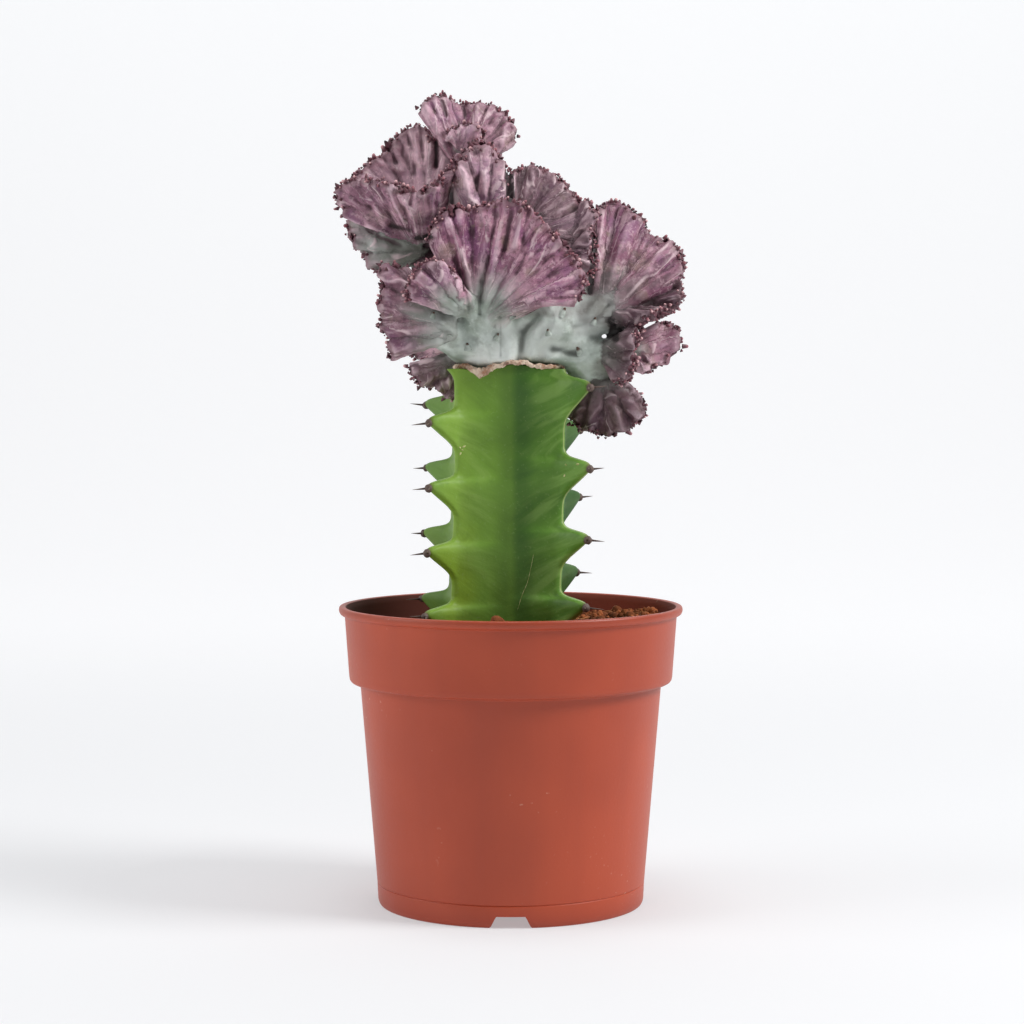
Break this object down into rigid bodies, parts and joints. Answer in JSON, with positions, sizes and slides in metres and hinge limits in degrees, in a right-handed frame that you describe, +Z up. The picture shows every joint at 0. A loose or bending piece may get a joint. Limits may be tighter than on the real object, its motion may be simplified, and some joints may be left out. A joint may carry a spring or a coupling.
{
  "type": "potted euphorbia",
  "caption": "Crested succulent grafted on a winged, toothed green stem, growing in a round nursery pot with a deep collar.",
  "frame": {"origin": "on the pot's axis, at the plane the pot's foot stands on", "axes": "+Z up along the pot's axis; -Y is the side the plant shows in the picture"},
  "size_m": [0.1215, 0.12, 0.2825],
  "materials": {
    "pot": "terracotta-coloured polypropylene with a soft sheen",
    "soil": "loose reddish-brown peat and coir",
    "stock": "smooth waxy green succulent skin",
    "graft_callus": "dry tan callus",
    "crest": "waxy mauve skin, grey-green towards the base"
  },
  "bodies": {
    "root": {"pot": "pot", "soil": "soil", "stock": "stock", "graft_callus": "graft_callus", "crest": "crest"}
  },
  "joints": []
}
